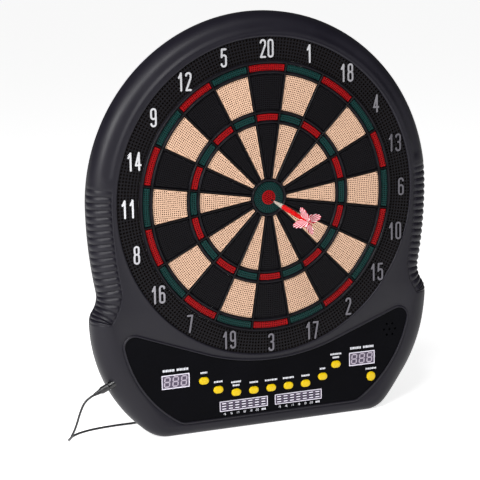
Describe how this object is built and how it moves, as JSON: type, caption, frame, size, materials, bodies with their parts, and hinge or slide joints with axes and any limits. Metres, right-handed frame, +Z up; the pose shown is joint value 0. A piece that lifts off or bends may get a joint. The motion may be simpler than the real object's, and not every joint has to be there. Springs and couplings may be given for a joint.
{
  "type": "electronic dartboard",
  "caption": "Electronic dartboard in a moulded housing: sprung scoring segments under a web, raised numbers, a push-button score panel with displays, a mains adapter lead and a dart.",
  "frame": {"origin": "middle of the housing's flat base, halfway through its depth", "axes": "+Z up, -Y out of the scoring face, +X to the player's right"},
  "size_m": [0.5128, 0.2483, 0.545],
  "materials": {
    "housing": "moulded plastic, fine satin",
    "cover": "moulded plastic, fine texture",
    "ring_black": "perforated plastic, satin",
    "silver": "metallised plastic",
    "web": "plastic, satin",
    "segment_black": "perforated plastic",
    "segment_cream": "perforated plastic",
    "ring_red": "perforated plastic",
    "ring_green": "perforated plastic",
    "film": "printed polyester film",
    "foam": "closed-cell foam",
    "board_fibre": "hardboard",
    "lens": "polished, smoked",
    "silicone": "moulded silicone",
    "circuit": "coated circuit board",
    "display": "unlit display",
    "cone": "pressed paper",
    "inlet": "moulded plastic",
    "cable": "soft PVC",
    "adapter": "moulded plastic",
    "nickel": "nickel plate",
    "screw": "zinc plate",
    "button_yellow": "moulded plastic",
    "dart_tip": "nylon",
    "dart_red": "lacquered",
    "flight": "printed film"
  },
  "bodies": {
    "root": {"front_housing": "housing", "rear_cover": "cover", "number_ring": "ring_black", "numerals": "silver", "spider": "web", "matrix_membrane": "film", "foam_mat": "foam", "backing_plate": "board_fibre", "panel_lens": "lens", "keypad": "silicone", "main_board": "circuit", "digit_displays": "display", "cricket_displays": "display", "speaker_frame": "housing", "speaker_cone": "cone", "dc_jack": "inlet", "dc_plug": "cable", "cord_lead": "cable", "cord_coil": "cable", "power_adapter": "adapter", "adapter_pins": "nickel", "cover_screws": "screw", "stack_screws": "screw", "board_screws": "screw"},
    "number_20": {"segment_20": "segment_black"},
    "number_01": {"segment_01": "segment_cream"},
    "number_18": {"segment_18": "segment_black"},
    "number_04": {"segment_04": "segment_cream"},
    "number_13": {"segment_13": "segment_black"},
    "number_06": {"segment_06": "segment_cream"},
    "number_10": {"segment_10": "segment_black"},
    "number_15": {"segment_15": "segment_cream"},
    "number_02": {"segment_02": "segment_black"},
    "number_17": {"segment_17": "segment_cream"},
    "number_03": {"segment_03": "segment_black"},
    "number_19": {"segment_19": "segment_cream"},
    "number_07": {"segment_07": "segment_black"},
    "number_16": {"segment_16": "segment_cream"},
    "number_08": {"segment_08": "segment_black"},
    "number_11": {"segment_11": "segment_cream"},
    "number_14": {"segment_14": "segment_black"},
    "number_09": {"segment_09": "segment_cream"},
    "number_12": {"segment_12": "segment_black"},
    "number_05": {"segment_05": "segment_cream"},
    "outer_bull": {"outer_bull": "ring_green"},
    "inner_bull": {"inner_bull": "ring_red"},
    "button_game": {"button_game": "button_yellow"},
    "button_option": {"button_option": "button_yellow"},
    "button_player": {"button_player": "button_yellow"},
    "button_double": {"button_double": "button_yellow"},
    "button_match": {"button_match": "button_yellow"},
    "button_handicap": {"button_handicap": "button_yellow"},
    "button_sound": {"button_sound": "button_yellow"},
    "button_miss": {"button_miss": "button_yellow"},
    "button_team": {"button_team": "button_yellow"},
    "button_start": {"button_start": "button_yellow"},
    "dart": {"dart_tip": "dart_tip", "dart_barrel": "dart_red", "dart_shaft": "dart_red", "dart_flight": "flight"}
  },
  "joints": [
    {"name": "press_20", "type": "slide", "parent": "root", "child": "number_20", "axis": [0, 1, 0], "range_m": [0, 0.001], "stiffness_N_per_m": 1500, "springref_m": -0.0005},
    {"name": "press_01", "type": "slide", "parent": "root", "child": "number_01", "axis": [0, 1, 0], "range_m": [0, 0.001], "stiffness_N_per_m": 1500, "springref_m": -0.0005},
    {"name": "press_18", "type": "slide", "parent": "root", "child": "number_18", "axis": [0, 1, 0], "range_m": [0, 0.001], "stiffness_N_per_m": 1500, "springref_m": -0.0005},
    {"name": "press_04", "type": "slide", "parent": "root", "child": "number_04", "axis": [0, 1, 0], "range_m": [0, 0.001], "stiffness_N_per_m": 1500, "springref_m": -0.0005},
    {"name": "press_13", "type": "slide", "parent": "root", "child": "number_13", "axis": [0, 1, 0], "range_m": [0, 0.001], "stiffness_N_per_m": 1500, "springref_m": -0.0005},
    {"name": "press_06", "type": "slide", "parent": "root", "child": "number_06", "axis": [0, 1, 0], "range_m": [0, 0.001], "stiffness_N_per_m": 1500, "springref_m": -0.0005},
    {"name": "press_10", "type": "slide", "parent": "root", "child": "number_10", "axis": [0, 1, 0], "range_m": [0, 0.001], "stiffness_N_per_m": 1500, "springref_m": -0.0005},
    {"name": "press_15", "type": "slide", "parent": "root", "child": "number_15", "axis": [0, 1, 0], "range_m": [0, 0.001], "stiffness_N_per_m": 1500, "springref_m": -0.0005},
    {"name": "press_02", "type": "slide", "parent": "root", "child": "number_02", "axis": [0, 1, 0], "range_m": [0, 0.001], "stiffness_N_per_m": 1500, "springref_m": -0.0005},
    {"name": "press_17", "type": "slide", "parent": "root", "child": "number_17", "axis": [0, 1, 0], "range_m": [0, 0.001], "stiffness_N_per_m": 1500, "springref_m": -0.0005},
    {"name": "press_03", "type": "slide", "parent": "root", "child": "number_03", "axis": [0, 1, 0], "range_m": [0, 0.001], "stiffness_N_per_m": 1500, "springref_m": -0.0005},
    {"name": "press_19", "type": "slide", "parent": "root", "child": "number_19", "axis": [0, 1, 0], "range_m": [0, 0.001], "stiffness_N_per_m": 1500, "springref_m": -0.0005},
    {"name": "press_07", "type": "slide", "parent": "root", "child": "number_07", "axis": [0, 1, 0], "range_m": [0, 0.001], "stiffness_N_per_m": 1500, "springref_m": -0.0005},
    {"name": "press_16", "type": "slide", "parent": "root", "child": "number_16", "axis": [0, 1, 0], "range_m": [0, 0.001], "stiffness_N_per_m": 1500, "springref_m": -0.0005},
    {"name": "press_08", "type": "slide", "parent": "root", "child": "number_08", "axis": [0, 1, 0], "range_m": [0, 0.001], "stiffness_N_per_m": 1500, "springref_m": -0.0005},
    {"name": "press_11", "type": "slide", "parent": "root", "child": "number_11", "axis": [0, 1, 0], "range_m": [0, 0.001], "stiffness_N_per_m": 1500, "springref_m": -0.0005},
    {"name": "press_14", "type": "slide", "parent": "root", "child": "number_14", "axis": [0, 1, 0], "range_m": [0, 0.001], "stiffness_N_per_m": 1500, "springref_m": -0.0005},
    {"name": "press_09", "type": "slide", "parent": "root", "child": "number_09", "axis": [0, 1, 0], "range_m": [0, 0.001], "stiffness_N_per_m": 1500, "springref_m": -0.0005},
    {"name": "press_12", "type": "slide", "parent": "root", "child": "number_12", "axis": [0, 1, 0], "range_m": [0, 0.001], "stiffness_N_per_m": 1500, "springref_m": -0.0005},
    {"name": "press_05", "type": "slide", "parent": "root", "child": "number_05", "axis": [0, 1, 0], "range_m": [0, 0.001], "stiffness_N_per_m": 1500, "springref_m": -0.0005},
    {"name": "press_outer_bull", "type": "slide", "parent": "root", "child": "outer_bull", "axis": [0, 1, 0], "range_m": [0, 0.001], "stiffness_N_per_m": 1200, "springref_m": -0.0005},
    {"name": "press_inner_bull", "type": "slide", "parent": "root", "child": "inner_bull", "axis": [0, 1, 0], "range_m": [0, 0.001], "stiffness_N_per_m": 1200, "springref_m": -0.0005},
    {"name": "push_game", "type": "slide", "parent": "root", "child": "button_game", "axis": [0, 1, 0], "range_m": [0, 0.001], "stiffness_N_per_m": 500, "springref_m": -0.0004},
    {"name": "push_option", "type": "slide", "parent": "root", "child": "button_option", "axis": [0, 1, 0], "range_m": [0, 0.001], "stiffness_N_per_m": 500, "springref_m": -0.0004},
    {"name": "push_player", "type": "slide", "parent": "root", "child": "button_player", "axis": [0, 1, 0], "range_m": [0, 0.001], "stiffness_N_per_m": 500, "springref_m": -0.0004},
    {"name": "push_double", "type": "slide", "parent": "root", "child": "button_double", "axis": [0, 1, 0], "range_m": [0, 0.001], "stiffness_N_per_m": 500, "springref_m": -0.0004},
    {"name": "push_match", "type": "slide", "parent": "root", "child": "button_match", "axis": [0, 1, 0], "range_m": [0, 0.001], "stiffness_N_per_m": 500, "springref_m": -0.0004},
    {"name": "push_handicap", "type": "slide", "parent": "root", "child": "button_handicap", "axis": [0, 1, 0], "range_m": [0, 0.001], "stiffness_N_per_m": 500, "springref_m": -0.0004},
    {"name": "push_sound", "type": "slide", "parent": "root", "child": "button_sound", "axis": [0, 1, 0], "range_m": [0, 0.001], "stiffness_N_per_m": 500, "springref_m": -0.0004},
    {"name": "push_miss", "type": "slide", "parent": "root", "child": "button_miss", "axis": [0, 1, 0], "range_m": [0, 0.001], "stiffness_N_per_m": 500, "springref_m": -0.0004},
    {"name": "push_team", "type": "slide", "parent": "root", "child": "button_team", "axis": [0, 1, 0], "range_m": [0, 0.001], "stiffness_N_per_m": 500, "springref_m": -0.0004},
    {"name": "push_start", "type": "slide", "parent": "root", "child": "button_start", "axis": [0, 1, 0], "range_m": [0, 0.001], "stiffness_N_per_m": 500, "springref_m": -0.0004},
    {"name": "dart_pull", "type": "slide", "parent": "root", "child": "dart", "axis": [0, -0.9945, -0.1045], "range_m": [0, 0.16]}
  ]
}
